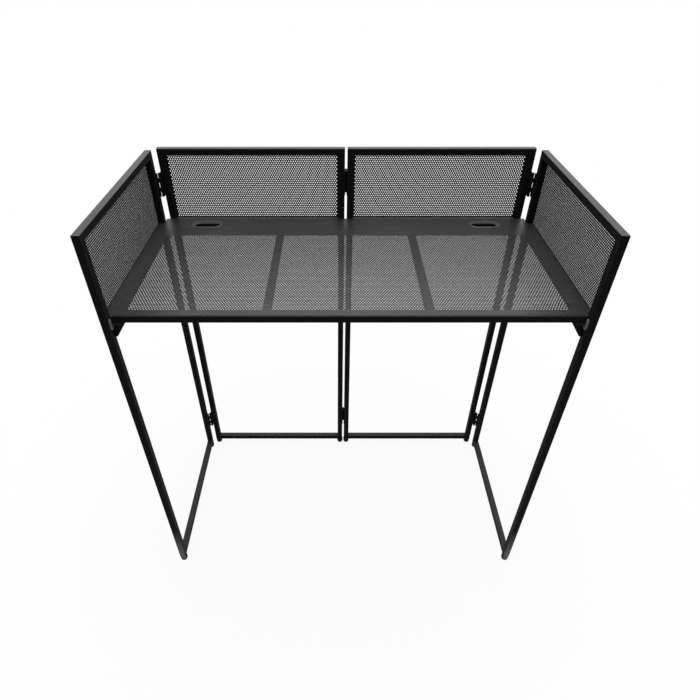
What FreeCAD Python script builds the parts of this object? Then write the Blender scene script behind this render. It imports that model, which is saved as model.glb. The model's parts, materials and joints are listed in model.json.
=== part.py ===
import FreeCAD, Part
import math
import os

# Foldable DJ booth in millimetres: four hinged tube panels with perforated screens and a lift-off table.
# The user stands at -Y, the audience at +Y, and the floor is at Z = 0.
# The origin is on the floor, under the middle of the standing booth.

# Panels
booth_width = 1200.0
wing_depth = 560.0
stile_length = 1280.0
tube_side = 20.0
tube_wall = 1.2
tube_bevel = 1.5
screen_height = 204.0
screen_thickness = 0.8
screen_inset = 1.0

# Feet
foot_diameter = 24.0
foot_height = 24.0
foot_flat = 12.0
foot_taper = 9.0
plug_length = 18.0
plug_clearance = 0.1

# Hinges
hinge_length = 75.0
knuckle_count = 5
knuckle_radius = 3.75
knuckle_gap = 0.4
leaf_thickness = 1.6
hinge_throw = 7.25
pin_radius = 1.9
pin_clearance = 0.05
pin_proud = 1.0
upper_hinge_drop = 107.0
lower_hinge_rise = 133.0

# Table
table_rise = 9.0
sheet_thickness = 0.8
sheet_bevel = 1.5
table_side_gap = 5.0
table_near_inset = 10.0
table_far_gap = 2.0
cross_rail_offset = 202.0

# The table's field of holes, as fewer and larger openings that leave the same share open
field_side_margin = 25.0
field_near_margin = 26.0
field_far_margin = 118.0
field_open_share = 0.22
opening_columns = 11
opening_rows = 3

# Cable slots
slot_length = 84.0
slot_width = 38.0
slot_side_setback = 139.0
slot_far_setback = 46.0
grommet_wall = 2.0
grommet_flange = 4.0
grommet_height = 2.0
grommet_skirt = 6.0
grommet_edge = 1.2
grommet_clearance = 0.2

# Table brackets and the pads beside the table
bracket_thickness = 2.5
bracket_reach = 33.0
bracket_drop = 46.0
bracket_blunt = 5.0
seat_clearance = 0.3
pad_length = 31.0
pad_width = 12.0
pad_drop = 9.0
pad_edge = 1.5
pad_clearance = 0.6
pad_gap = 1.0

# Places that follow from those sizes
V = FreeCAD.Vector
panel_top = foot_height + stile_length
sill_height = panel_top - tube_side - screen_height
table_height = sill_height + table_rise
corner_gap = hinge_throw + knuckle_radius
foot_overhang = max(foot_diameter - tube_side, 0) / 2
near_face = (foot_overhang - wing_depth - corner_gap - tube_side - corner_gap) / 2
wing_end = near_face + wing_depth
front_inner_face = wing_end + corner_gap
front_outer_face = front_inner_face + tube_side
wing_inner_face = booth_width / 2 - tube_side
front_end = wing_inner_face - corner_gap
front_width = front_end - knuckle_radius
corner_axis = V(front_end + knuckle_radius, wing_end + knuckle_radius, 0)
centre_axis = V(0, front_outer_face + hinge_throw, 0)
hinge_heights = (foot_height + lower_hinge_rise, panel_top - upper_hinge_drop)
table_half = wing_inner_face - table_side_gap
table_near = near_face + table_near_inset
table_far = wing_end - table_far_gap
slot_offset = table_half - slot_side_setback
slot_line = table_far - slot_far_setback
frame_top = table_height - sheet_thickness
frame_bottom = frame_top - tube_side
seat_top = frame_bottom - seat_clearance
bracket_bottom = seat_top - bracket_drop
web_far = tube_side - tube_bevel
web_near = web_far - bracket_thickness
pad_middle = (tube_bevel + web_near) / 2
pad_thickness = table_side_gap - pad_clearance
pad_bottom = table_height - pad_drop - pad_length


def moved(shape, x, y, z):
    copy = shape.copy()
    copy.translate(V(x, y, z))
    return copy


def turned(shape, axis, angle):
    copy = shape.copy()
    copy.rotate(V(0, 0, 0), axis, angle)
    return copy


def mirrored(shape, middle, direction):
    return shape.mirror(direction * middle, direction)


def prism(points, run):
    face = Part.Face(Part.makePolygon(points + points[:1]))
    return face.extrude(run)


def block(low, high):
    size = high - low
    return Part.makeBox(size.x, size.y, size.z, low)


def stadium(length, width, height):
    # A slot-shaped plug centred on Z, its long way along X, standing on Z = 0.
    half = (length - width) / 2
    radius = width / 2
    right = Part.Arc(V(half, -radius, 0), V(half + radius, 0, 0), V(half, radius, 0))
    left = Part.Arc(V(-half, radius, 0), V(-half - radius, 0, 0), V(-half, -radius, 0))
    back = Part.LineSegment(V(half, radius, 0), V(-half, radius, 0))
    front = Part.LineSegment(V(-half, -radius, 0), V(half, -radius, 0))
    wire = Part.Wire([curve.toShape() for curve in (right, back, left, front)])
    return Part.Face(wire).extrude(V(0, 0, height))


def upper_edges(shape):
    # The edges of an upright plug's top face.
    return [edge for edge in shape.Edges if edge.BoundBox.ZMin > shape.BoundBox.Center.z]


def tube_bar(length, mitre_start, mitre_end):
    # A square tube along Z. Its side at X = 0 is the long side of each mitre.
    outer = Part.makeBox(tube_side, tube_side, length)
    upright = [edge for edge in outer.Edges if edge.BoundBox.ZLength > length / 2]
    outer = outer.makeChamfer(tube_bevel, upright)
    bore_side = tube_side - 2 * tube_wall
    tube = outer.cut(Part.makeBox(bore_side, bore_side, length, V(tube_wall, tube_wall, 0)))
    through = V(0, tube_side, 0)
    if mitre_start:
        tube = tube.cut(prism([V(0, 0, 0), V(tube_side, 0, 0), V(tube_side, 0, tube_side)], through))
    if mitre_end:
        end = [V(0, 0, length), V(tube_side, 0, length), V(tube_side, 0, length - tube_side)]
        tube = tube.cut(prism(end, through))
    return tube


def level_bar(length, mitred, top):
    # A tube along X with its upper face at the given height.
    bar = turned(tube_bar(length, mitred, mitred), V(0, 1, 0), 90)
    return moved(bar, 0, 0, top)


def foot():
    # A round glide that tapers to the flat it stands on, and a square plug that goes up into the stile.
    profile = [
        V(0, 0, 0),
        V(foot_flat / 2, 0, 0),
        V(foot_diameter / 2, 0, foot_taper),
        V(foot_diameter / 2, 0, foot_height),
        V(0, 0, foot_height),
    ]
    face = Part.Face(Part.makePolygon(profile + profile[:1]))
    glide = face.revolve(V(0, 0, 0), V(0, 0, 1), 360)
    plug_side = tube_side - 2 * tube_wall - 2 * plug_clearance
    corner = V(-plug_side / 2, -plug_side / 2, foot_height)
    plug = Part.makeBox(plug_side, plug_side, plug_length, corner)
    return glide.fuse(plug).removeSplitter()


def panel(width):
    # One welded panel. X runs along it, Y = 0 is its inner face and Y = tube_side its outer face.
    inside = width - 2 * tube_side
    stile = moved(tube_bar(stile_length, False, True), 0, 0, foot_height)
    cross = level_bar(inside, False, 0)
    screen_outer = tube_side - screen_inset
    low = V(tube_side, screen_outer - screen_thickness, sill_height)
    high = V(width - tube_side, screen_outer, sill_height + screen_height)
    centre = tube_side / 2
    feet = [moved(foot(), x, centre, 0) for x in (centre, width - centre)]
    return {
        "start_stile": stile,
        "end_stile": mirrored(stile, width / 2, V(1, 0, 0)),
        "top_rail": level_bar(width, True, panel_top),
        "mid_rail": moved(cross, tube_side, 0, sill_height),
        "bottom_rail": moved(cross, tube_side, 0, foot_height + tube_side),
        "screen": block(low, high),
        "feet": Part.makeCompound(feet),
    }


def bracket():
    # A gusset welded to the start stile's inner face: a web, and a seat folded out under the table.
    web = prism([
        V(web_near, 0, seat_top),
        V(web_near, -bracket_reach, seat_top),
        V(web_near, -bracket_reach, seat_top - bracket_blunt),
        V(web_near, -bracket_blunt, bracket_bottom),
        V(web_near, 0, bracket_bottom),
    ], V(bracket_thickness, 0, 0))
    seat_low = V(tube_bevel, -bracket_reach, seat_top - bracket_thickness)
    seat = block(seat_low, V(web_far, -pad_thickness - pad_gap, seat_top))
    free = [edge for edge in seat.Edges if edge.BoundBox.ZLength > bracket_thickness / 2]
    free = [edge for edge in free if edge.BoundBox.XMax < web_near]
    seat = seat.makeChamfer(bracket_blunt, free)
    return web.fuse(seat).removeSplitter()


def pad():
    # A stadium standing upright on the stile's inner face, with a bevelled front edge.
    body = stadium(pad_length, pad_width, pad_thickness)
    body = body.makeChamfer(pad_edge, upper_edges(body))
    body = turned(turned(body, V(0, 0, 1), 90), V(1, 0, 0), 90)
    return moved(body, pad_middle, 0, pad_bottom + pad_length / 2)


def pin_bore():
    # An eight-sided bore whose flats clear the round pin, which keeps the many knuckles light.
    sides = 8
    reach = (pin_radius + pin_clearance) / math.cos(math.pi / sides)
    turns = [2 * math.pi * index / sides for index in range(sides)]
    points = [V(reach * math.cos(turn), reach * math.sin(turn), 0) for turn in turns]
    return prism(points, V(0, 0, hinge_length))


def hinge_leaf(parity, side):
    # A hinge leaf whose pin axis is Z. Its plate runs along X, against a face at Y = side * knuckle_radius.
    pitch = hinge_length / knuckle_count
    width = hinge_throw + tube_side - tube_bevel
    leaf = Part.makeBox(width, leaf_thickness, hinge_length, V(0, knuckle_radius - leaf_thickness, 0))
    reach = knuckle_radius + knuckle_gap
    for index in range(knuckle_count):
        floor = index * pitch
        if index % 2 == parity:
            start = V(0, 0, floor + knuckle_gap / 2)
            leaf = leaf.fuse(Part.makeCylinder(knuckle_radius, pitch - knuckle_gap, start))
        else:
            corner = V(-reach, -reach, floor - knuckle_gap / 2)
            leaf = leaf.cut(Part.makeBox(2 * reach, 2 * reach, pitch + knuckle_gap, corner))
    leaf = leaf.cut(pin_bore()).removeSplitter()
    if side < 0:
        leaf = mirrored(leaf, 0, V(0, 1, 0))
    return leaf


def hinge_pin():
    return Part.makeCylinder(pin_radius, hinge_length + 2 * pin_proud, V(0, 0, -pin_proud))


def hinge_line(shape, axis, angle):
    # The same hinge piece at both heights of one hinge line.
    copies = []
    for height in hinge_heights:
        placed = turned(shape, V(0, 0, 1), angle)
        copies.append(moved(placed, axis.x, axis.y, height - hinge_length / 2))
    return Part.makeCompound(copies)


def grommet():
    # A ring that stands on the sheet at Z = 0, with a skirt down through the slot.
    length = slot_length + 2 * grommet_wall
    width = slot_width + 2 * grommet_wall
    flange = stadium(length + 2 * grommet_flange, width + 2 * grommet_flange, grommet_height)
    flange = flange.makeChamfer(grommet_edge, upper_edges(flange))
    skirt = moved(stadium(length, width, grommet_skirt), 0, 0, -grommet_skirt)
    opening = moved(stadium(slot_length, slot_width, grommet_skirt + grommet_height), 0, 0, -grommet_skirt)
    return flange.fuse(skirt).cut(opening).removeSplitter()


def field_openings():
    low = V(-table_half + field_side_margin, table_near + field_near_margin, frame_top)
    high = V(table_half - field_side_margin, table_far - field_far_margin, table_height)
    cell = V((high.x - low.x) / opening_columns, (high.y - low.y) / opening_rows, 0)
    half = cell * (math.sqrt(field_open_share) / 2)
    openings = []
    for column in range(opening_columns):
        for row in range(opening_rows):
            centre = low + V(cell.x * (column + 0.5), cell.y * (row + 0.5), 0)
            openings.append(block(centre - half, centre + half + V(0, 0, sheet_thickness)))
    return Part.makeCompound(openings)


def table():
    width = 2 * table_half
    depth = table_far - table_near
    middle = (table_near + table_far) / 2
    front = turned(tube_bar(width, True, True), V(1, 1, 1), 120)
    front = moved(front, -table_half, table_near, frame_bottom)
    left = turned(tube_bar(depth, True, True), V(1, 0, 0), -90)
    left = moved(left, -table_half, table_near, frame_top)
    cross = turned(tube_bar(depth - 2 * tube_side, False, False), V(1, 0, 0), -90)
    cross = moved(cross, -cross_rail_offset - tube_side / 2, table_near + tube_side, frame_top)
    sheet = block(V(-table_half, table_near, frame_top), V(table_half, table_far, table_height))
    corners = [edge for edge in sheet.Edges if edge.BoundBox.ZLength > sheet_thickness / 2]
    sheet = sheet.makeChamfer(sheet_bevel, corners)
    wall = 2 * (grommet_wall + grommet_clearance)
    cutter = stadium(slot_length + wall, slot_width + wall, sheet_thickness)
    for x in (-slot_offset, slot_offset):
        sheet = sheet.cut(moved(cutter, x, slot_line, frame_top))
    sheet = sheet.cut(field_openings())
    ring = moved(grommet(), -slot_offset, slot_line, table_height)
    return {
        "front_rail": front,
        "rear_rail": mirrored(front, middle, V(0, 1, 0)),
        "left_rail": left,
        "right_rail": mirrored(left, 0, V(1, 0, 0)),
        "left_cross_rail": cross,
        "right_cross_rail": mirrored(cross, 0, V(1, 0, 0)),
        "top": sheet,
        "grommets": Part.makeCompound([ring, mirrored(ring, 0, V(1, 0, 0))]),
    }


def wing():
    # A wing panel with a bracket and a pad on each stile.
    pieces = panel(wing_depth)
    middle = wing_depth / 2
    along = V(1, 0, 0)
    pieces["start_bracket"] = bracket()
    pieces["end_bracket"] = mirrored(bracket(), middle, along)
    pieces["table_pads"] = Part.makeCompound([pad(), mirrored(pad(), middle, along)])
    return pieces


def named(pieces, body, start, end):
    # Node names: the body's name, then which stile or bracket it is.
    return {
        body + "_" + name.replace("start", start).replace("end", end): shape
        for name, shape in pieces.items()
    }


def front_panels():
    pieces = panel(front_width)
    left = {name: moved(shape, -front_end, front_inner_face, 0) for name, shape in pieces.items()}
    right = {name: moved(shape, knuckle_radius, front_inner_face, 0) for name, shape in pieces.items()}
    nodes = named(left, "front_left", "outer", "inner")
    nodes.update(named(right, "front_right", "inner", "outer"))
    return nodes


def wings():
    up = V(0, 0, 1)
    nodes = {}
    for name, shape in wing().items():
        left = moved(turned(shape, up, 90), -wing_inner_face, near_face, 0)
        nodes.update(named({name: left}, "left_wing", "near", "far"))
        right = moved(turned(shape, up, -90), wing_inner_face, wing_end, 0)
        nodes.update(named({name: right}, "right_wing", "far", "near"))
    return nodes


def hinges():
    # Even knuckles are on the front panels at the corners, and on the left panel at the centre.
    left_axis = V(-corner_axis.x, corner_axis.y, 0)
    return {
        "left_hinge_panel_leaves": hinge_line(hinge_leaf(0, -1), left_axis, 90),
        "left_hinge_wing_leaves": hinge_line(hinge_leaf(1, 1), left_axis, 180),
        "left_hinge_pins": hinge_line(hinge_pin(), left_axis, 0),
        "right_hinge_panel_leaves": hinge_line(hinge_leaf(0, 1), corner_axis, 90),
        "right_hinge_wing_leaves": hinge_line(hinge_leaf(1, -1), corner_axis, 0),
        "right_hinge_pins": hinge_line(hinge_pin(), corner_axis, 0),
        "centre_hinge_left_leaves": hinge_line(hinge_leaf(0, -1), centre_axis, -90),
        "centre_hinge_right_leaves": hinge_line(hinge_leaf(1, 1), centre_axis, -90),
        "centre_hinge_pins": hinge_line(hinge_pin(), centre_axis, 0),
    }


nodes = front_panels()
nodes.update(wings())
nodes.update(hinges())
nodes.update({"table_" + name: shape for name, shape in table().items()})
os.makedirs("parts", exist_ok=True)
for name, shape in nodes.items():
    shape.exportStep("parts/" + name + ".step")
print(len(nodes), "nodes")
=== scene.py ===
import json
import math

import bmesh
import bpy
from mathutils import Matrix, Vector


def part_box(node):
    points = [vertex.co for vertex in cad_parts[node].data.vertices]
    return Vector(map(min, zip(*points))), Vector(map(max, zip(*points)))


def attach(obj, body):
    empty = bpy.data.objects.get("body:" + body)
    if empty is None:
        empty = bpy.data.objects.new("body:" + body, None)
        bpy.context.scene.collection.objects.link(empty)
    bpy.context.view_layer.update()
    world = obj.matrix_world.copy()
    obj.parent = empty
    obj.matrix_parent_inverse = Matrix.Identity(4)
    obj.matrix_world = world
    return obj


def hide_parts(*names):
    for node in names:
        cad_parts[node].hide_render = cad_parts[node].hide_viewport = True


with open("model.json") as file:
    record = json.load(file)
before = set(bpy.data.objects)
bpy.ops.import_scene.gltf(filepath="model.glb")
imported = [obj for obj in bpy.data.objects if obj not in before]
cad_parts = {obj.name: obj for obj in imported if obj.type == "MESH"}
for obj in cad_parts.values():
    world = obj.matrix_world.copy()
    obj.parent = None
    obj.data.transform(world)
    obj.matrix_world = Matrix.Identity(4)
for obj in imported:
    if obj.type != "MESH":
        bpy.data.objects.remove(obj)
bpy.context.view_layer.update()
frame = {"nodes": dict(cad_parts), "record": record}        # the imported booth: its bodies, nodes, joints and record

nodes = frame["nodes"]
bodyOf = {node: body for body, group in frame["record"]["behaviour"]["bodies"].items() for node in group}
slotOf = {part["node"]: part["material_slot"] for part in frame["record"]["subparts"]}
mm = 0.001
print("booth: frame loaded,", len(nodes), "nodes")


# Node trees, for finishes and for pieces that repeat

class Wire:
    # one output socket; arithmetic on it adds Math nodes to its tree
    def __init__(self, graph, socket):
        self.graph = graph
        self.socket = socket

    def out(self, name):
        return Wire(self.graph, self.graph.socketNamed(self.socket.node.outputs, name))

    def __add__(self, other):
        return self.graph.maths("ADD", self, other)

    def __radd__(self, other):
        return self.graph.maths("ADD", other, self)

    def __sub__(self, other):
        return self.graph.maths("SUBTRACT", self, other)

    def __rsub__(self, other):
        return self.graph.maths("SUBTRACT", other, self)

    def __mul__(self, other):
        return self.graph.maths("MULTIPLY", self, other)

    def __rmul__(self, other):
        return self.graph.maths("MULTIPLY", other, self)

    def __mod__(self, other):
        return self.graph.maths("FLOORED_MODULO", self, other)

    def __rmod__(self, other):
        return self.graph.maths("FLOORED_MODULO", other, self)


class Graph:
    def __init__(self, tree):
        self.tree = tree
        self.tree.nodes.clear()

    def socketNamed(self, sockets, name):
        return next(socket for socket in sockets if socket.name == name and socket.enabled)

    def node(self, kind, settings=None, values=None, output=None):
        made = self.tree.nodes.new(kind)
        for name, setting in (settings or {}).items():
            if name == "stops":
                self.setStops(made.color_ramp, setting)
            else:
                setattr(made, name, setting)
        for key, value in (values or {}).items():
            socket = made.inputs[key] if isinstance(key, int) else self.socketNamed(made.inputs, key)
            if isinstance(value, Wire):
                self.tree.links.new(value.socket, socket)
            else:
                socket.default_value = value
        shown = [socket for socket in made.outputs if socket.enabled]
        if not shown:
            return None
        return Wire(self, shown[0] if output is None else self.socketNamed(shown, output))

    def maths(self, operation, first, second):
        return self.node("ShaderNodeMath", {"operation": operation}, {0: first, 1: second})

    def eased(self, value, start, end, low, high):
        # a smooth change from low to high as the value goes from start to end
        return self.node("ShaderNodeMapRange", {"interpolation_type": "SMOOTHSTEP"}, {
            "Value": value, "From Min": start, "From Max": end, "To Min": low, "To Max": high})

    def backgroundRay(self):
        # 1 for rays that show the background: straight to the camera, mirrored or seen through
        ray = self.node("ShaderNodeLightPath", output="Is Camera Ray")
        seen = ray + ray.out("Is Glossy Ray") + ray.out("Is Transmission Ray")
        return self.maths("MINIMUM", seen, 1.0)

    def setStops(self, ramp, stops):
        while len(ramp.elements) < len(stops):
            ramp.elements.new(1.0)
        for element, (place, grey) in zip(ramp.elements, stops):
            element.position = place
            element.color = (grey, grey, grey, 1)


class Finish(Graph):
    # a material on Object coordinates
    def __init__(self, name):
        self.material = bpy.data.materials.new(name)
        self.material.use_nodes = True
        super().__init__(self.material.node_tree)
        self.place = self.node("ShaderNodeTexCoord", output="Object")

    def noise(self, scale, detail, stretch=None):
        place = self.place
        if stretch:
            place = self.node("ShaderNodeMapping", None, {"Vector": place, "Scale": stretch})
        return self.node("ShaderNodeTexNoise", None, {"Vector": place, "Scale": scale, "Detail": detail})

    def ramp(self, value, *stops):
        return self.node("ShaderNodeValToRGB", {"stops": stops}, {"Fac": value}, "Color")

    def mixed(self, share, low, high):
        values = {"Factor": share, "A": low, "B": high}
        return self.node("ShaderNodeMix", {"data_type": "RGBA"}, values, "Result")

    def bump(self, height, depth, under=None):
        values = {"Height": height, "Distance": depth, "Strength": 1.0}
        if under:
            values["Normal"] = under
        return self.node("ShaderNodeBump", None, values)

    def surface(self, values):
        shader = self.node("ShaderNodeBsdfPrincipled", None, values)
        self.node("ShaderNodeOutputMaterial", None, {"Surface": shader})
        return self.material


# Finishes

powderLook = {
    "black": (0.014, 0.014, 0.015, 1),
    "worn": (0.070, 0.068, 0.066, 1),
    # upward faces take a paler tone, partly dust and partly painted top light
    "dustAndLightTone": (0.085, 0.084, 0.082, 1),
    "roughness": 0.44,
    "roughnessSwing": 0.16,
    "ior": 1.05,                 # low, to match the photo's dark upright faces
    "glossRoughness": 0.34,
    "gloss": 0.9,                # on upward faces only, to match the photo
    "glossAndLightLevels": (0.05, 0.9),  # heights between which the gloss and the painted top light grow to their full share
    "lowGlossAndLight": 0.5,             # share of the gloss and of the painted top light left near the floor: painted shade low down
    "peelScale": 620.0,          # orange peel, about 1.5 mm across
    "peelDepth": 0.035 * mm,
    "grainScale": 2600.0,
    "grainDepth": 0.010 * mm,
    "cloudScale": 7.0,
    "speckleScale": 190.0,
    "dustAndTopLight": 0.9,
    "rubScale": 55.0,
    "wear": 0.8,
    "scratch": 0.0,
    "scratchStretch": (5.0, 330.0, 330.0),    # long scratches along X
}

# painted light near the feet: heights and distances towards the user, in metres
footLightLook = {"tone": (0.24, 0.235, 0.23, 1), "sole": 0.010, "start": 0.017, "end": 0.19,
             "reach": 0.10, "fullReach": 0.25}


def paintedFootLight(finish, speckle):
    # painted light on the near sides of the nearest legs, most of all just above the feet
    height = finish.node("ShaderNodeSeparateXYZ", None, {0: finish.place}, "Z")
    reached = finish.ramp(0.0 - height.out("Y"), (footLightLook["reach"], 0.0), (footLightLook["fullReach"], 1.0))
    facing = finish.node("ShaderNodeTexCoord", output="Normal")
    depth = finish.node("ShaderNodeSeparateXYZ", None, {0: facing}, "Y")
    near = finish.ramp(0.0 - depth, (0.35, 0.0), (0.85, 1.0))
    low = finish.ramp(height, (footLightLook["sole"], 0.0), (footLightLook["start"], 1.0), (footLightLook["end"], 0.0))
    return near * low * reached * (speckle * 0.4 + 0.7)


def powderCoat(name, look):
    paint = Finish(name)
    peel = paint.noise(look["peelScale"], 2.0)
    grain = paint.noise(look["grainScale"], 1.0)
    cloud = paint.noise(look["cloudScale"], 4.0)
    rubs = paint.ramp(paint.noise(look["rubScale"], 6.0), (0.50, 0.0), (0.72, 1.0))
    rubbed = paint.node("ShaderNodeAttribute", {"attribute_name": "edge"}, None, "Fac")
    wear = rubbed * rubs * look["wear"]
    facing = paint.node("ShaderNodeTexCoord", output="Normal")
    upward = paint.node("ShaderNodeSeparateXYZ", None, {0: facing}, "Z")
    upFacing = paint.ramp(upward, (0.4, 0.0), (0.95, 1.0))
    speckle = paint.ramp(paint.noise(look["speckleScale"], 8.0), (0.42, 0.0), (0.78, 1.0))
    # the paler tone on upward faces: dust with painted top light, as if lit from above
    dustAndTopLight = upFacing * (speckle * 0.5 + 0.25) * (cloud + 0.5) * look["dustAndTopLight"]
    height = paint.node("ShaderNodeSeparateXYZ", None, {0: paint.place}, "Z")
    floorward, upper = look["glossAndLightLevels"]
    # the gloss and the paler top tone fade towards the floor: painted shade on the low rails
    heightLightShare = paint.ramp(height, (floorward, look["lowGlossAndLight"]), (upper, 1.0))
    gloss = upFacing * heightLightShare * (cloud * 0.3 + 0.8) * look["gloss"]
    # painted light on the near sides of the nearest legs
    colour = paint.mixed(paintedFootLight(paint, speckle), look["black"], footLightLook["tone"])
    colour = paint.mixed(dustAndTopLight * heightLightShare, colour, look["dustAndLightTone"])
    scratch = paint.ramp(paint.noise(1.0, 3.0, look["scratchStretch"]), (0.64, 0.0), (0.70, 1.0))
    colour = paint.mixed(scratch * upFacing * look["scratch"], colour, look["worn"])
    colour = paint.mixed(wear, colour, look["worn"])
    roughness = look["roughness"] + (cloud - 0.5) * look["roughnessSwing"] + dustAndTopLight * 0.25 - wear * 0.10
    normal = paint.bump(grain, look["grainDepth"], paint.bump(peel, look["peelDepth"]))
    return paint.surface({
        "Base Color": colour, "Roughness": roughness, "Normal": normal, "IOR": look["ior"],
        "Coat Weight": gloss, "Coat Roughness": look["glossRoughness"]})


mouldedLook = {
    "black": {"colour": (0.010, 0.010, 0.011, 1), "pale": (0.022, 0.022, 0.022, 1),
              "roughness": 0.5, "ior": 1.16},
    "grey": {"colour": (0.13, 0.13, 0.133, 1), "pale": (0.18, 0.18, 0.18, 1),
             "roughness": 0.52, "ior": 1.48},
    "faded": {"colour": (0.085, 0.085, 0.088, 1), "pale": (0.12, 0.12, 0.12, 1),
              "roughness": 0.30, "ior": 1.48},
    "grainScale": 1500.0,
    "grainDepth": 0.012 * mm,
    "chalkScale": 60.0,
}


def mouldedPlastic(name, tone):
    plastic = Finish(name)
    grain = plastic.noise(mouldedLook["grainScale"], 3.0)
    chalk = plastic.ramp(plastic.noise(mouldedLook["chalkScale"], 5.0), (0.40, 0.0), (0.85, 1.0))
    colour = plastic.mixed(chalk, tone["colour"], tone["pale"])
    # the same painted light on the near sides of the feet
    colour = plastic.mixed(paintedFootLight(plastic, chalk), colour, footLightLook["tone"])
    roughness = tone["roughness"] + (grain - 0.5) * 0.12 + chalk * 0.08
    normal = plastic.bump(grain, mouldedLook["grainDepth"])
    return plastic.surface({
        "Base Color": colour, "Roughness": roughness, "Normal": normal, "IOR": tone["ior"]})


steelLook = {
    "bright": (0.34, 0.34, 0.35, 1),
    "dark": (0.10, 0.10, 0.11, 1),
    "turnScale": (260.0, 260.0, 2600.0),      # rings left by the lathe, round the pin
    "turnDepth": 0.01 * mm,
    "stainScale": 420.0,
    "roughness": 0.28,
}


def turnedSteel(name):
    steel = Finish(name)
    rings = steel.noise(1.0, 2.0, steelLook["turnScale"])
    stain = steel.ramp(steel.noise(steelLook["stainScale"], 5.0), (0.35, 0.0), (0.75, 1.0))
    colour = steel.mixed(stain, steelLook["bright"], steelLook["dark"])
    roughness = steelLook["roughness"] + stain * 0.3 + (rings - 0.5) * 0.1
    normal = steel.bump(rings, steelLook["turnDepth"])
    return steel.surface({
        "Base Color": colour, "Roughness": roughness, "Normal": normal, "Metallic": 1.0})


# the table sheet's upward faces take their own paler tone, partly dust and partly painted top light
sheetLook = {**powderLook, "dustAndLightTone": (0.060, 0.059, 0.058, 1), "worn": (0.13, 0.128, 0.125, 1),
             "ior": 1.14, "wear": 0.0, "scratch": 0.6}
# the upright screens' coat is a little browner than the table's, and paler: painted light on the upright screens
screenLook = {**sheetLook, "black": (0.025, 0.019, 0.0205, 1), "ior": 1.20}
# a much paler top tone on the front panels' mid rails, a painted highlight, gives the light strip along the table's
# far edge
sillLook = {**powderLook, "dustAndLightTone": (0.27, 0.265, 0.26, 1)}
# the brackets sit in the table's shade, with little of the dust and painted top light, and no gloss
bracketCoatLook = {**powderLook, "gloss": 0.0, "dustAndTopLight": 0.2}

screenCoat = powderCoat("screenCoat", screenLook)
sillCoat = powderCoat("sillCoat", sillLook)
bracketCoat = powderCoat("bracketCoat", bracketCoatLook)
grommetPlastic = mouldedPlastic("grommetPlastic", mouldedLook["faded"])
finishes = {
    "black_powder_coat": powderCoat("powderCoat", powderLook),
    "perforated_sheet": powderCoat("sheetCoat", sheetLook),
    "black_plastic": mouldedPlastic("blackPlastic", mouldedLook["black"]),
    "grey_plastic": mouldedPlastic("greyPlastic", mouldedLook["grey"]),
    "dark_steel": turnedSteel("darkSteel"),
}
# a node that no piece replaces would show in its slot's finish
for node, item in nodes.items():
    item.data.materials.clear()
    item.data.materials.append(finishes[slotOf[node]])
print("booth: finishes made")


# Small helpers for meshes

def addPiece(name, mesh, body, slot, *replaced, finish=None):
    piece = bpy.data.objects.new(name, mesh)
    bpy.context.scene.collection.objects.link(piece)
    mesh.materials.clear()
    mesh.materials.append(finish or finishes[slot])
    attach(piece, body)
    if replaced:
        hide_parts(*replaced)
    return piece


def meshFrom(name, points, faces):
    mesh = bpy.data.meshes.new(name)
    mesh.from_pydata(points, [], faces)
    mesh.update()
    return mesh


def joined(name, shapes):
    # several (points, faces) in one mesh, its faces turned outwards
    points = []
    faces = []
    for shapePoints, shapeFaces in shapes:
        start = len(points)
        points += shapePoints
        faces += [[start + index for index in face] for face in shapeFaces]
    mesh = meshFrom(name, points, faces)
    work = bmesh.new()
    work.from_mesh(mesh)
    bmesh.ops.recalc_face_normals(work, faces=work.faces)
    work.to_mesh(mesh)
    work.free()
    return mesh


def smoothed(mesh, angle=40):
    mesh.shade_smooth()
    mesh.set_sharp_from_angle(angle=math.radians(angle))
    return mesh


def modified(mesh, kind, settings):
    # the mesh as one modifier leaves it
    worn = bpy.data.objects.new("worn", mesh)
    bpy.context.scene.collection.objects.link(worn)
    modifier = worn.modifiers.new(kind.lower(), kind)
    for name, setting in settings.items():
        setattr(modifier, name, setting)
    seen = worn.evaluated_get(bpy.context.evaluated_depsgraph_get())
    made = bpy.data.meshes.new_from_object(seen)
    bpy.data.objects.remove(worn)
    return made


def ringFaces(rings, around, closed):
    # quads between rings of points, each ring with the same count
    faces = []
    for ring in range(rings if closed else rings - 1):
        low = ring * around
        high = (ring + 1) % rings * around
        for step in range(around):
            after = (step + 1) % around
            faces.append([low + step, low + after, high + after, high + step])
    return faces


def cappedFaces(rings, around):
    # the same in an open row, with a face over each end
    last = (rings - 1) * around
    return ringFaces(rings, around, False) + [list(range(around)), list(range(last, last + around))]


def middle(low, high):
    return (low + high) / 2


def weighted(mesh, angle=50):
    # smooth shading that leaves large flats flat
    return modified(smoothed(mesh, angle), "WEIGHTED_NORMAL", {"keep_sharp": True, "weight": 100})


def contents(work):
    # (points, faces) of a bmesh, which is freed
    work.verts.index_update()
    shape = ([vertex.co.copy() for vertex in work.verts],
             [[vertex.index for vertex in face.verts] for face in work.faces])
    work.free()
    return shape


def roundedBox(low, high, edge):
    work = bmesh.new()
    place = Matrix.LocRotScale(middle(Vector(low), Vector(high)), None, Vector(high) - Vector(low))
    bmesh.ops.create_cube(work, size=1.0, matrix=place)
    bmesh.ops.bevel(work, geom=work.edges[:], offset=edge, segments=2, profile=0.5, affect="EDGES")
    return contents(work)


edgeMid = 0.3        # where the middle point of a rounded edge lies, as a share of the edge


def roundedWall(radius, low, high, edge):
    # (radius, height) up a turned wall, over its two rounded rims
    rim = [(edge, 0), (edge * edgeMid, edge * edgeMid), (0, edge)]
    lower = [(radius - inset, low + rise) for inset, rise in rim]
    return lower + [(radius - inset, high - rise) for inset, rise in rim[::-1]]


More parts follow.
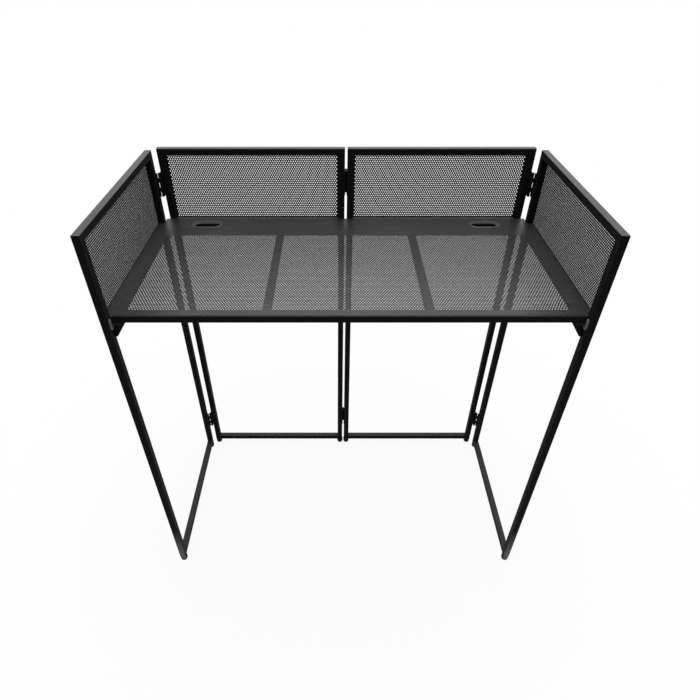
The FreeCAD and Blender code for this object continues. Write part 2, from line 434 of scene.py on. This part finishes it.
def turned(profile, heart, steps):
    # a profile of (radius, height) turned round an upright axis and capped
    points = []
    for radius, height in profile:
        for step in range(steps):
            turn = 2 * math.pi * step / steps
            points.append(Vector(heart) + Vector((radius * math.cos(turn), radius * math.sin(turn), height)))
    return points, cappedFaces(len(profile), steps)


def halfStadium(length, width, steps):
    # the upper half of a slot's outline, from its right tip to its left tip
    radius = width / 2
    points = []
    for end in (1, -1):
        for step in range(steps + 1):
            turn = math.pi / 2 * (step / steps if end == 1 else 1 - step / steps)
            points.append((end * ((length - width) / 2 + radius * math.cos(turn)), radius * math.sin(turn)))
    return points


def stadiumRing(length, width, steps):
    upper = halfStadium(length, width, steps)
    return upper + [(x, -y) for x, y in upper[-2:0:-1]]


# Square tubes with rolled corners

tubeLook = {"cornerRadius": 1.5 * mm, "cornerSteps": 5}


def tubeRing(side):
    # (across, up, edge) round a square tube's outline, with edge at 1 on the crown of a corner
    radius = tubeLook["cornerRadius"]
    steps = tubeLook["cornerSteps"]
    ring = []
    for corner, (right, top) in enumerate(((1, 1), (0, 1), (0, 0), (1, 0))):
        across = side - radius if right else radius
        up = side - radius if top else radius
        for step in range(steps + 1):
            turn = math.radians(90 * (corner + step / steps))
            crown = math.sin(math.pi * step / steps)
            ring.append((across + radius * math.cos(turn), up + radius * math.sin(turn), crown))
    return ring


def tubePiece(node):
    # follows the node's box; a mitre's long side faces away from the frame's middle
    low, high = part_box(node)
    size = high - low
    along = max(range(3), key=lambda axis: size[axis])
    across, up = [axis for axis in range(3) if axis != along]
    body = bodyOf[node]
    heart = middle(*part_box("table_top" if body == "table" else body + "_screen"))
    out = middle(low, high) - heart
    outward = max((across, up), key=lambda axis: abs(out[axis]))
    mitreEnd = node.endswith(("stile", "top_rail")) or body == "table" and "cross" not in node
    mitreStart = mitreEnd and not node.endswith("stile")
    ring = tubeRing(min(size))
    points = []
    edges = []
    for far in (False, True):
        for offset, rise, crown in ring:
            point = Vector(low)
            point[across] += offset
            point[up] += rise
            point[along] = high[along] if far else low[along]
            depth = high[outward] - point[outward] if out[outward] > 0 else point[outward] - low[outward]
            if far and mitreEnd:
                point[along] -= depth
            if not far and mitreStart:
                point[along] += depth
            points.append(point)
            edges.append(crown)
    mesh = joined(node + "_tube", [(points, cappedFaces(2, len(ring)))])
    mesh.attributes.new("edge", "FLOAT", "POINT").data.foreach_set("value", edges)
    roundCorners(mesh, ring, (across, up), low)
    # the front panels' mid rails carry the painted highlight along the table's far edge
    behindTable = node.startswith("front") and node.endswith("mid_rail")
    finish = sillCoat if behindTable else None
    addPiece(node + "_tube", mesh, body, slotOf[node], node, finish=finish)


def roundCorners(mesh, ring, axes, low):
    # normals that follow the rolled corners, so that the flats stay flat
    side = max(point[0] for point in ring)
    radius = tubeLook["cornerRadius"]
    normals = []
    mesh.shade_smooth()
    for face in mesh.polygons:
        for index in face.vertices:
            normal = Vector(face.normal)
            if len(face.vertices) == 4:
                normal = Vector((0, 0, 0))
                for axis in axes:
                    place = mesh.vertices[index].co[axis] - low[axis]
                    normal[axis] = place - min(max(place, radius), side - radius)
            normals.append(normal.normalized())
    mesh.normals_split_custom_set(normals)


tubes = [node for node in nodes if node.endswith(("stile", "rail"))]
for node in tubes:
    tubePiece(node)
print("booth:", len(tubes), "tubes rounded")


# Perforated sheets

perforation = {
    "pitch": 7.0 * mm,
    "holeDiameter": 3.6 * mm,
    "holeSides": 12,
    "tableSideMargin": 25 * mm,
    "tableNearMargin": 26 * mm,
    "tableFarMargin": 118 * mm,
    "tableCorner": 1.5 * mm,
    "tableInset": 2.5 * mm,      # the sheet stops short of the frame, whose rounded edge shows
    "tableBands": 4,             # the table's sheet is cut between rows, so that no mesh is too heavy
    "slotSteps": 10,
    "mapShare": 0.49,            # of the bake map's height, for each face of a sheet
}
rowStep = perforation["pitch"] * math.sqrt(0.75)


def meshTree(name, inputs):
    # a tree from a mesh, its sizes and a material to a new mesh
    tree = bpy.data.node_groups.new(name, "GeometryNodeTree")
    for label, kind in (("Geometry", "Geometry"), *inputs, ("Material", "Material")):
        tree.interface.new_socket(name=label, in_out="INPUT", socket_type="NodeSocket" + kind)
    tree.interface.new_socket(name="Geometry", in_out="OUTPUT", socket_type="NodeSocketGeometry")
    return tree


def perforatedFieldTree():
    # copies of one cell in staggered rows, centred on the origin
    tree = meshTree("perforatedField", (("Pitch", "Float"), ("Columns", "Int"), ("Rows", "Int")))
    graph = Graph(tree)
    given = graph.node("NodeGroupInput")
    pitch = given.out("Pitch")
    columns = given.out("Columns")
    rows = given.out("Rows")
    points = graph.node("GeometryNodeMeshGrid", None, {
        "Size X": pitch * (columns - 1), "Size Y": pitch * (rows - 1) * math.sqrt(0.75),
        "Vertices X": columns, "Vertices Y": rows})
    odd = graph.node("GeometryNodeInputIndex") % rows % 2
    stagger = graph.node("ShaderNodeCombineXYZ", None, {"X": (odd - 0.5) * pitch * 0.5})
    points = graph.node("GeometryNodeSetPosition", None, {"Geometry": points, "Offset": stagger})
    field = graph.node("GeometryNodeInstanceOnPoints", None, {
        "Points": points, "Instance": given.out("Geometry")})
    field = graph.node("GeometryNodeRealizeInstances", None, {"Geometry": field})
    field = graph.node("GeometryNodeMergeByDistance", None, {"Geometry": field, "Distance": 0.01 * mm})
    field = graph.node("GeometryNodeSetMaterial", None, {
        "Geometry": field, "Material": given.out("Material")})
    graph.node("NodeGroupOutput", None, {"Geometry": field})
    return tree


def grown(tree, mesh, inputs):
    # the plain mesh that a tree makes from a mesh
    seed = bpy.data.objects.new("seed", mesh)
    bpy.context.scene.collection.objects.link(seed)
    modifier = seed.modifiers.new("grow", "NODES")
    modifier.node_group = tree
    for item in tree.interface.items_tree:
        if item.in_out == "INPUT" and item.name in inputs:
            modifier[item.identifier] = inputs[item.name]
    seen = seed.evaluated_get(bpy.context.evaluated_depsgraph_get())
    made = bpy.data.meshes.new_from_object(seen)
    seed.modifiers.remove(modifier)
    bpy.data.objects.remove(seed)
    return made


def cellMesh(thickness):
    # one cell with its hole's wall; its rim has only the points that it shares with its neighbours
    side = perforation["pitch"] / 2
    rise = rowStep / 2
    radius = perforation["holeDiameter"] / 2
    rim = [(side, rise), (0, rise), (-side, rise), (-side, -rise), (0, -rise), (side, -rise)]
    sides = perforation["holeSides"]
    turns = [2 * math.pi * step / sides for step in range(sides)]
    hole = [(radius * math.cos(turn), radius * math.sin(turn)) for turn in turns]
    count = len(rim + hole)
    points = [(x, y, z) for z in (0, thickness) for x, y in rim + hole]
    share = sides // len(rim)
    flat = []
    for corner in range(len(rim)):
        start = corner * share + share // 2
        arc = [len(rim) + (start + step) % sides for step in range(share + 1)]
        flat.append([corner, (corner + 1) % len(rim)] + arc[::-1])
    faces = [face[::-1] for face in flat] + [[count + index for index in face] for face in flat]
    for step in range(sides):
        first = len(rim) + step
        second = len(rim) + (step + 1) % sides
        faces.append([second, first, count + first, count + second])
    return meshFrom("cell", points, faces)


def plainParts(low, high, columns, rows, nearMargin, farMargin):
    # flat areas round a field that is centred on the origin: half cells at the ends of rows, then margins
    half = perforation["pitch"] / 2
    right = (2 * columns + 1) * half / 2
    top = rows * rowStep / 2
    levels = [-top + rowStep * row for row in range(rows + 1)]
    steps = [-right + half * step for step in range(2 * columns + 2)]
    parts = []
    for row in range(rows):
        start = -right if row % 2 else right - half
        parts.append([(start, levels[row]), (start + half, levels[row]), (start + half, levels[row + 1]),
                      (start, levels[row + 1])])
    leftEdge = [(-right, level) for level in levels]
    rightEdge = [(right, level) for level in levels[::-1]]
    parts.append([(low[0], levels[0])] + leftEdge + [(low[0], levels[-1])])
    parts.append([(high[0], levels[-1])] + rightEdge + [(high[0], levels[0])])
    near = [(high[0], -top)] + [(step, -top) for step in steps[::-1]] + [(low[0], -top)]
    far = [(low[0], top)] + [(step, top) for step in steps] + [(high[0], top)]
    if nearMargin:
        parts.append(near + nearMargin)
    if farMargin:
        parts += [far + farMargin[0]] + farMargin[1:]
    return parts


def sheetMesh(name, low, high, columns, rows, thickness, slot, nearMargin, farMargin):
    field = grown(fieldTree, cellMesh(thickness), {
        "Pitch": perforation["pitch"], "Columns": columns, "Rows": rows, "Material": finishes[slot]})
    work = bmesh.new()
    work.from_mesh(field)
    for part in plainParts(low, high, columns, rows, nearMargin, farMargin):
        work.faces.new([work.verts.new((x, y, thickness)) for x, y in part])
        work.faces.new([work.verts.new((x, y, 0)) for x, y in part[::-1]])
    bmesh.ops.remove_doubles(work, verts=work.verts, dist=0.02 * mm)
    addWalls(work, thickness / 2)
    layOut(work, low, high)
    mesh = bpy.data.meshes.new(name)
    work.to_mesh(mesh)
    work.free()
    print("booth:", name, columns, "by", rows, "holes,", len(mesh.polygons), "faces")
    return mesh


def addWalls(work, half):
    # closes the sheet's outline between its two faces
    def spot(vertex):
        return (round(vertex.co.x / mm, 2), round(vertex.co.y / mm, 2))
    rim = [edge for edge in work.edges if edge.is_boundary]
    under = {spot(vertex): vertex for edge in rim for vertex in edge.verts if vertex.co.z < half}
    for edge in rim:
        if edge.verts[0].co.z > half:
            loop = edge.link_loops[0]
            first = loop.vert
            second = loop.link_loop_next.vert
            work.faces.new((second, first, under[spot(first)], under[spot(second)]))


def layOut(work, low, high):
    # a map for baking: the upper face on its lower half, the underside on its upper half,
    # and the holes' walls inside the holes
    pull = perforation["holeDiameter"] / 4
    share = perforation["mapShare"]
    layer = work.loops.layers.uv.new("OFBake")
    heights = [vertex.co.y for vertex in work.verts]
    start = Vector((low[0] - pull, min(heights) - pull))
    span = Vector((high[0] + pull, max(heights) + pull)) - start
    work.normal_update()
    for face in work.faces:
        upright = abs(face.normal.z) < 0.5
        under = face.normal.z < -0.5
        top = max(vertex.co.z for vertex in face.verts)
        for loop in face.loops:
            place = loop.vert.co.xy
            if upright and loop.vert.co.z < top:
                place = place + face.normal.xy * pull
            spot = place - start
            loop[layer].uv = (spot.x / span.x, spot.y / span.y * share + (1 - share if under else 0))


def screenPiece(node):
    # made lying down, then stood up between the stiles
    low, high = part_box(node)
    size = high - low
    wide = 0 if size.x > size.y else 1
    side = size[wide] / 2
    top = size.z / 2
    thickness = size[1 - wide]
    columns = int((2 * side - perforation["pitch"] / 2) / perforation["pitch"])
    rows = int(2 * top / rowStep)
    mesh = sheetMesh(node + "_mesh", (-side, -top), (side, top), columns, rows, thickness, slotOf[node],
                     [(-side, -top), (side, -top)], [[(side, top), (-side, top)]])
    upright = Matrix(((1, 0, 0), (0, 0, 1), (0, 1, 0)))
    if wide == 1:
        upright = Matrix(((0, 0, 1), (1, 0, 0), (0, 1, 0)))
    place = middle(low, high)
    place[1 - wide] = low[1 - wide]
    mesh.transform(Matrix.Translation(place) @ upright.to_4x4())
    if upright.determinant() < 0:
        mesh.flip_normals()
    addPiece(node + "_mesh", mesh, bodyOf[node], slotOf[node], node, finish=screenCoat)


def slotEdge(heart, length, width, side):
    # half of a slot's outline, over its far side or under its near side
    half = halfStadium(length, width, perforation["slotSteps"])
    return [(heart[0] + x, heart[1] + side * y) for x, y in half]


def tableSheet():
    node = "table_top"
    low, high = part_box(node)
    fieldLow = low.y + perforation["tableNearMargin"]
    inset = Vector((perforation["tableInset"], perforation["tableInset"], 0))
    pitch = perforation["pitch"]
    corner = perforation["tableCorner"]
    bands = perforation["tableBands"]
    depth = high.y - low.y - perforation["tableNearMargin"] - perforation["tableFarMargin"]
    rows = int(depth / rowStep)
    columns = int((high.x - low.x - 2 * perforation["tableSideMargin"] - pitch / 2) / pitch)
    share = math.ceil(rows / bands / 2) * 2
    low += inset
    high -= inset
    for band in range(bands):
        bandRows = min(share, rows - band * share)
        heart = fieldLow + (band * share + bandRows / 2) * rowStep
        nearMargin = None
        farMargin = None
        if band == 0:
            near = low.y - heart
            nearMargin = [(low.x, near + corner), (low.x + corner, near), (high.x - corner, near),
                          (high.x, near + corner)]
        if band == bands - 1:
            farMargin = slottedMargin(low, high, heart, corner)
        name = "table_sheet_" + str(band + 1)
        mesh = sheetMesh(name, low, high, columns, bandRows, high.z - low.z, slotOf[node], nearMargin,
                         farMargin)
        mesh.transform(Matrix.Translation((0, heart, low.z)))
        addPiece(name, mesh, bodyOf[node], slotOf[node], node)


def slottedMargin(low, high, heart, corner):
    # the wide far margin in two parts, which meet on the slots' middle line
    grommetLow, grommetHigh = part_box("table_grommets")
    spare = 2 * (grommetLook["clearance"] + grommetLook["wall"] - grommetLook["reach"])
    width = grommetHigh.y - grommetLow.y + spare
    length = width + grommetLook["straight"]
    place = grommetHigh.x + spare / 2 - length / 2
    line = middle(grommetLow.y, grommetHigh.y) - heart
    far = high.y - heart
    nearEdge = slotEdge((place, line), length, width, -1) + slotEdge((-place, line), length, width, -1)
    farEdge = slotEdge((place, line), length, width, 1) + slotEdge((-place, line), length, width, 1)
    nearPart = [(high.x, line)] + nearEdge + [(low.x, line)]
    farPart = [(low.x, line)] + farEdge[::-1] + [
        (high.x, line), (high.x, far - corner), (high.x - corner, far), (low.x + corner, far),
        (low.x, far - corner)]
    return [nearPart, farPart]


grommetLook = {
    "reach": 6.0 * mm,           # from the opening to the flange's outer edge
    "wall": 2.0 * mm,
    "clearance": 0.2 * mm,
    "straight": 46.0 * mm,       # straight run of a slot between its round ends
    "lip": 0.7 * mm,
    # down the flange's outer side: lips in from its edge, and share of its height
    "crown": ((2.2, 1.0), (1.0, 0.86), (0.3, 0.52), (0.0, 0.15)),
    "crease": 50,
    "steps": 12,
}

fieldTree = perforatedFieldTree()
for node in [name for name in nodes if name.endswith("_screen")]:
    screenPiece(node)
tableSheet()
print("booth: sheets perforated")


# Cable grommets

def grommetRing():
    # the section of a grommet as (distance from the opening, height on the sheet)
    low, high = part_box("table_grommets")
    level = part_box("table_top")[1].z
    bottom = low.z - level
    top = high.z - level
    lip = grommetLook["lip"]
    reach = grommetLook["reach"]
    wall = grommetLook["wall"]
    inner = [(0, bottom + lip), (0, top - lip), (lip * edgeMid, top - lip * edgeMid), (lip, top)]
    crown = [(reach - lips * lip, top * share) for lips, share in grommetLook["crown"]]
    under = [(reach, 0), (wall, 0), (wall, bottom + lip), (wall - lip / 2, bottom), (lip / 2, bottom)]
    return inner + crown + under


def grommetPiece():
    node = "table_grommets"
    low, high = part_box(node)
    width = high.y - low.y - 2 * grommetLook["reach"]
    length = width + grommetLook["straight"]
    place = high.x - grommetLook["reach"] - length / 2
    heart = Vector((0, middle(low.y, high.y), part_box("table_top")[1].z))
    section = grommetRing()
    shapes = []
    for side in (-1, 1):
        points = []
        for offset, height in section:
            ring = stadiumRing(length + 2 * offset, width + 2 * offset, grommetLook["steps"])
            points += [heart + Vector((side * place + x, y, height)) for x, y in ring]
        shapes.append((points, ringFaces(len(section), len(points) // len(section), True)))
    mesh = smoothed(joined("table_grommet_rings", shapes), grommetLook["crease"])
    addPiece("table_grommet_rings", mesh, bodyOf[node], slotOf[node], node, finish=grommetPlastic)


grommetPiece()
print("booth: grommets made")


# Feet under the stiles

footLook = {
    "flat": 12.0 * mm,
    "sole": 0.5 * mm,
    "soleRise": 0.2 * mm,
    "domeHeight": 9.5 * mm,
    "domeSteps": 8,
    "groove": (19.6 * mm, 20.8 * mm),
    "grooveDepth": 0.9 * mm,
    "edge": 0.6 * mm,
    "steps": 40,
}


def footProfile(radius, height):
    # a domed sole, a straight wall with a groove, and a collar under the tube
    flat = footLook["flat"] / 2
    sole = footLook["sole"]
    edge = footLook["edge"]
    low, high = footLook["groove"]
    inner = radius - footLook["grooveDepth"]
    profile = [(flat - sole, 0)]
    for step in range(footLook["domeSteps"] + 1):
        turn = math.pi / 2 * step / footLook["domeSteps"]
        rise = footLook["domeHeight"] * (1 - math.cos(turn))
        profile.append((flat + (radius - flat) * math.sin(turn), footLook["soleRise"] + rise))
    profile += [(radius, low - edge), (radius - edge * edgeMid, low - edge * edgeMid), (inner, low)]
    return profile + [(inner, high)] + roundedWall(radius, high, height, edge)[1:]


def footPiece(node):
    low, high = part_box(node)
    size = high - low
    wide = 0 if size.x > size.y else 1
    radius = size[1 - wide] / 2
    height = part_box(node.replace("_feet", "_bottom_rail"))[0].z
    shapes = []
    for place in (low[wide] + radius, high[wide] - radius):
        heart = middle(low, high)
        heart[wide] = place
        heart.z = low.z
        shapes.append(turned(footProfile(radius, height), heart, footLook["steps"]))
    name = node + "_turned"
    addPiece(name, smoothed(joined(name, shapes)), bodyOf[node], slotOf[node], node)


for node in [name for name in nodes if name.endswith("_feet")]:
    footPiece(node)
print("booth: feet made")


# Grey pads beside the table

padLook = {"length": 31.0 * mm, "width": 12.0 * mm, "round": 1.6 * mm, "roundSteps": 4, "lip": 1.5 * mm,
           "dish": 0.5 * mm, "steps": 10}


def padProfile(thickness):
    # (inset, height) from the stile outwards: a rounded edge, a lip and a shallow dish
    edge = padLook["round"]
    profile = [(0, 0)]
    for step in range(padLook["roundSteps"] + 1):
        turn = math.pi / 2 * step / padLook["roundSteps"]
        profile.append((edge * (1 - math.cos(turn)), thickness - edge * (1 - math.sin(turn))))
    inner = edge + padLook["lip"]
    return profile + [(inner, thickness), (inner + padLook["dish"], thickness - padLook["dish"])]


def padPiece(node):
    low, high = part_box(node)
    left = node.startswith("left")
    profile = padProfile(high.x - low.x)
    shapes = []
    for place in (low.y + padLook["width"] / 2, high.y - padLook["width"] / 2):
        points = []
        for inset, height in profile:
            ring = stadiumRing(padLook["length"] - 2 * inset, padLook["width"] - 2 * inset, padLook["steps"])
            across = low.x + height if left else high.x - height
            points += [Vector((across, place + y, middle(low.z, high.z) + x)) for x, y in ring]
        shapes.append((points, cappedFaces(len(profile), len(points) // len(profile))))
    name = node + "_dished"
    addPiece(name, smoothed(joined(name, shapes)), bodyOf[node], slotOf[node], node)


for node in [name for name in nodes if name.endswith("_pads")]:
    padPiece(node)
print("booth: pads made")


# Hinges

hingeLook = {
    "length": 75.0 * mm,
    "knuckles": 5,
    "radius": 3.75 * mm,
    "bore": 1.95 * mm,
    "gap": 0.4 * mm,
    "leaf": 1.6 * mm,
    "edge": 0.35 * mm,
    "pinProud": 1.0 * mm,
    "pinEdge": 0.7 * mm,
    "steps": 28,
}
# for each leaf: its first knuckle, the side of the axis that its plate lies on, and its turn about the axis
hingeLeaves = {
    "left_hinge_panel_leaves": (0, -1, 90),
    "left_hinge_wing_leaves": (1, 1, 180),
    "right_hinge_panel_leaves": (0, 1, 90),
    "right_hinge_wing_leaves": (1, -1, 0),
    "centre_hinge_left_leaves": (0, -1, -90),
    "centre_hinge_right_leaves": (1, 1, -90),
}


def knuckleShape(low, high):
    # a rolled barrel with a bore, its rims rounded
    edge = hingeLook["edge"]
    radius = hingeLook["radius"]
    bore = hingeLook["bore"]
    section = [(bore, low)] + roundedWall(radius, low, high, edge) + [(bore, high)]
    points = []
    for step in range(hingeLook["steps"]):
        turn = 2 * math.pi * step / hingeLook["steps"]
        way = Vector((math.cos(turn), math.sin(turn), 0))
        points += [way * place + Vector((0, 0, height)) for place, height in section]
    return points, ringFaces(hingeLook["steps"], len(section), True)


def leafShapes(first, side, reach):
    # the plate, its tabs and its knuckles, with the pin's axis along Z and the plate along X
    radius = hingeLook["radius"]
    gap = hingeLook["gap"]
    edge = hingeLook["edge"]
    pitch = hingeLook["length"] / hingeLook["knuckles"]
    faces = sorted((side * radius, side * (radius - hingeLook["leaf"])))
    shapes = [roundedBox((radius + gap, faces[0], 0), (reach, faces[1], hingeLook["length"]), edge)]
    for knuckle in range(first, hingeLook["knuckles"], 2):
        low = knuckle * pitch + gap / 2
        high = low + pitch - gap
        shapes.append(roundedBox((0, faces[0], low), (radius + 3 * gap, faces[1], high), edge))
        shapes.append(knuckleShape(low, high))
    return shapes


def leafPiece(node):
    first, side, turn = hingeLeaves[node]
    pin = node.split("_hinge_")[0] + "_hinge_pins"
    low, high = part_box(pin)
    axis = middle(low, high)
    way = Vector((math.cos(math.radians(turn)), math.sin(math.radians(turn)), 0))
    reach = max((corner - axis).dot(way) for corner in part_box(node))
    proud = hingeLook["pinProud"]
    shapes = []
    for height in (low.z + proud, high.z - proud - hingeLook["length"]):
        place = Matrix.Translation((axis.x, axis.y, height)) @ Matrix.Rotation(math.radians(turn), 4, "Z")
        for points, faces in leafShapes(first, side, reach):
            shapes.append(([place @ point for point in points], faces))
    name = node + "_rolled"
    addPiece(name, weighted(joined(name, shapes)), bodyOf[node], slotOf[node], node)


def pinPiece(node):
    low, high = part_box(node)
    radius = (high.x - low.x) / 2
    length = hingeLook["length"] + 2 * hingeLook["pinProud"]
    profile = roundedWall(radius, 0, length, hingeLook["pinEdge"])
    shapes = []
    for height in (low.z, high.z - length):
        heart = middle(low, high)
        heart.z = height
        shapes.append(turned(profile, heart, hingeLook["steps"]))
    name = node + "_turned"
    addPiece(name, smoothed(joined(name, shapes)), bodyOf[node], slotOf[node], node)


for node in hingeLeaves:
    leafPiece(node)
for node in [name for name in nodes if name.endswith("_pins")]:
    pinPiece(node)
print("booth: hinges made")


# Gusset brackets

bracketLook = {"edge": 0.6 * mm, "steps": 3, "flatAngle": 1, "sharpAngle": 20}


def bracketPiece(node):
    # the node's own shape with its edges rounded
    mesh = nodes[node].data.copy()
    mesh.transform(nodes[node].matrix_world)
    work = bmesh.new()
    work.from_mesh(mesh)
    bmesh.ops.remove_doubles(work, verts=work.verts, dist=0.005 * mm)
    flat = math.radians(bracketLook["flatAngle"])
    bmesh.ops.dissolve_limit(work, angle_limit=flat, verts=work.verts, edges=work.edges)
    bend = math.radians(bracketLook["sharpAngle"])
    sharp = [edge for edge in work.edges if edge.calc_face_angle(0) > bend]
    bmesh.ops.bevel(work, geom=sharp, offset=bracketLook["edge"], segments=bracketLook["steps"], profile=0.5,
                    affect="EDGES")
    mesh = joined(node + "_pressed", [contents(work)])
    addPiece(node + "_pressed", weighted(mesh), bodyOf[node], slotOf[node], node, finish=bracketCoat)


for node in [name for name in nodes if name.endswith("_bracket")]:
    bracketPiece(node)
print("booth: brackets made")


# Weld beads round the ends of the rails

weldLook = {"radius": 1.4 * mm, "proud": 0.6 * mm, "spacing": 0.9 * mm, "corner": 2.6 * mm,
            "smallest": 0.86, "largest": 1.06, "seed": 7, "crease": 80,
            "rails": ("mid_rail", "bottom_rail", "cross_rail")}


def weldTree():
    # a row of overlapping drops along each edge of a mesh
    tree = meshTree("weldBeads", (("Radius", "Float"), ("Spacing", "Float"), ("Smallest", "Float"),
                                  ("Largest", "Float"), ("Seed", "Int")))
    graph = Graph(tree)
    given = graph.node("NodeGroupInput")
    seams = graph.node("GeometryNodeMeshToCurve", None, {"Mesh": given.out("Geometry")})
    seams = graph.node("GeometryNodeResampleCurve", {"mode": "LENGTH"},
                       {"Curve": seams, "Length": given.out("Spacing")})
    drop = graph.node("GeometryNodeMeshIcoSphere", None, {"Radius": given.out("Radius"), "Subdivisions": 2})
    size = graph.node("FunctionNodeRandomValue", {"data_type": "FLOAT"}, {
        "Min": given.out("Smallest"), "Max": given.out("Largest"), "Seed": given.out("Seed")})
    beads = graph.node("GeometryNodeInstanceOnPoints", None, {
        "Points": seams, "Instance": drop, "Scale": size})
    beads = graph.node("GeometryNodeRealizeInstances", None, {"Geometry": beads})
    beads = graph.node("GeometryNodeSetMaterial", None, {
        "Geometry": beads, "Material": given.out("Material")})
    graph.node("NodeGroupOutput", None, {"Geometry": beads})
    return tree


def railSeams(node):
    # the lines where a rail's ends meet the tubes beside it, sunk so that only the crown of a bead shows
    low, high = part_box(node)
    size = high - low
    along = max(range(3), key=lambda axis: size[axis])
    sides = [axis for axis in range(3) if axis != along]
    sunk = weldLook["radius"] - weldLook["proud"]
    seams = []
    for end in (low[along], high[along]):
        for out, across in (sides, sides[::-1]):
            for face in (low[out] + sunk, high[out] - sunk):
                if node.startswith("table") and out == 2 and face > middle(low.z, high.z):
                    continue
                seam = []
                for place in (low[across] + weldLook["corner"], high[across] - weldLook["corner"]):
                    point = Vector((0, 0, 0))
                    point[along] = end
                    point[out] = face
                    point[across] = place
                    seam.append(point)
                seams.append(seam)
    return seams


def weldPiece(body):
    rails = [node for node in tubes if bodyOf[node] == body and node.endswith(weldLook["rails"])]
    seams = [seam for node in rails for seam in railSeams(node)]
    points = [point for seam in seams for point in seam]
    lines = bpy.data.meshes.new(body + "_seams")
    lines.from_pydata(points, [(2 * index, 2 * index + 1) for index in range(len(seams))], [])
    slot = "black_powder_coat"
    mesh = grown(beadTree, lines, {
        "Radius": weldLook["radius"], "Spacing": weldLook["spacing"], "Smallest": weldLook["smallest"],
        "Largest": weldLook["largest"], "Seed": weldLook["seed"], "Material": finishes[slot]})
    addPiece(body + "_welds", smoothed(mesh, weldLook["crease"]), body, slot)
    print("booth:", body, len(seams), "welds,", len(mesh.polygons), "faces")


beadTree = weldTree()
for body in frame["record"]["behaviour"]["bodies"]:
    weldPiece(body)


# Stage, light and camera

stageLook = {
    "reach": 6.0,
    "pale": ((0.74, 0.74, 0.74, 1), (0.77, 0.77, 0.77, 1)),
    "cloudScale": 3.0,
    "dim": (0.16, 0.16, 0.16, 1),      # towards the viewer, where the floor throws little light back
    "dimEdge": (-1.3, -0.78),
    "shadowReach": (0.5, 1.6),         # the floor's own shading shows through here and fades out
    "shadowWhite": 0.92,
}


def addStage():
    reach = stageLook["reach"]
    corners = [(-reach, -reach, 0), (reach, -reach, 0), (reach, reach, 0), (-reach, reach, 0)]
    floor = meshFrom("floor", corners, [[0, 1, 2, 3]])
    paper = Finish("floorPaper")
    across = paper.node("ShaderNodeSeparateXYZ", None, {0: paper.place}, "Y")
    lit = paper.eased(across, *stageLook["dimEdge"], 0.0, 1.0)
    tone = paper.mixed(paper.noise(stageLook["cloudScale"], 3.0), *stageLook["pale"])
    tone = paper.mixed(lit, stageLook["dim"], tone)
    matt = paper.node("ShaderNodeBsdfDiffuse", None, {"Color": tone})
    white = paper.node("ShaderNodeEmission", None, {"Color": (1, 1, 1, 1), "Strength": 1.0})
    away = paper.node("ShaderNodeVectorMath", {"operation": "LENGTH"}, {0: paper.place}, "Value")
    fade = paper.eased(away, *stageLook["shadowReach"], stageLook["shadowWhite"], 1.0)
    share = paper.backgroundRay() * fade
    mixed = paper.node("ShaderNodeMixShader", None, {0: share, 1: matt, 2: white})
    paper.node("ShaderNodeOutputMaterial", None, {"Surface": mixed})
    floor.materials.append(paper.material)
    stage = bpy.data.objects.new("floor", floor)
    bpy.context.scene.collection.objects.link(stage)


# directions as shares of Y and Z: the light grows from the viewer's side to the far side, and upwards
studioLook = {"viewerSide": 0.16, "turn": (-0.55, 0.1), "rise": (0.35, 0.9)}


def addWorld():
    # a white studio that lights the booth from above and behind, and little from the viewer's side
    world = bpy.data.worlds.new("studio")
    bpy.context.scene.world = world
    world.use_nodes = True
    sky = Graph(world.node_tree)
    way = sky.node("ShaderNodeTexCoord", output="Generated")
    parts = sky.node("ShaderNodeSeparateXYZ", None, {0: way}, "Y")
    behind = sky.eased(parts, *studioLook["turn"], studioLook["viewerSide"], 1.0)
    above = sky.eased(parts.out("Z"), *studioLook["rise"], 0.0, 1.0)
    level = sky.maths("MAXIMUM", behind, above)
    level = sky.maths("MAXIMUM", level, sky.backgroundRay())
    light = sky.node("ShaderNodeBackground", None, {"Color": (1, 1, 1, 1), "Strength": level})
    sky.node("ShaderNodeOutputWorld", None, {"Surface": light})


softboxLook = {"place": (0.4, 0.6, 3.6), "aim": (0, 0, 0.9), "size": 2.4, "power": 40.0}


def addSoftbox():
    lamp = bpy.data.lights.new("overhead", "AREA")
    lamp.shape = "SQUARE"
    lamp.size = softboxLook["size"]
    lamp.energy = softboxLook["power"]
    box = bpy.data.objects.new("overhead", lamp)
    box.location = softboxLook["place"]
    way = Vector(softboxLook["aim"]) - Vector(softboxLook["place"])
    box.rotation_euler = way.to_track_quat("-Z", "Y").to_euler()
    bpy.context.scene.collection.objects.link(box)


# fitted to the straight edges in the photo
cameraLook = {"lens": 27.077, "sensor": 36.0, "place": (-0.0307, -1.3307, 1.8161), "pitch": 38.643,
              "shift": 0.01986}


def addCamera():
    lens = bpy.data.cameras.new("camera")
    lens.lens = cameraLook["lens"]
    lens.sensor_width = cameraLook["sensor"]
    lens.sensor_fit = "HORIZONTAL"
    lens.shift_x = cameraLook["shift"]
    camera = bpy.data.objects.new("camera", lens)
    camera.location = cameraLook["place"]
    camera.rotation_euler = (math.radians(90 - cameraLook["pitch"]), 0, 0)
    bpy.context.scene.collection.objects.link(camera)
    bpy.context.scene.camera = camera


addStage()
addWorld()
addSoftbox()
addCamera()
bpy.context.scene.view_settings.view_transform = "Standard"
print("booth: stage, light and camera set")
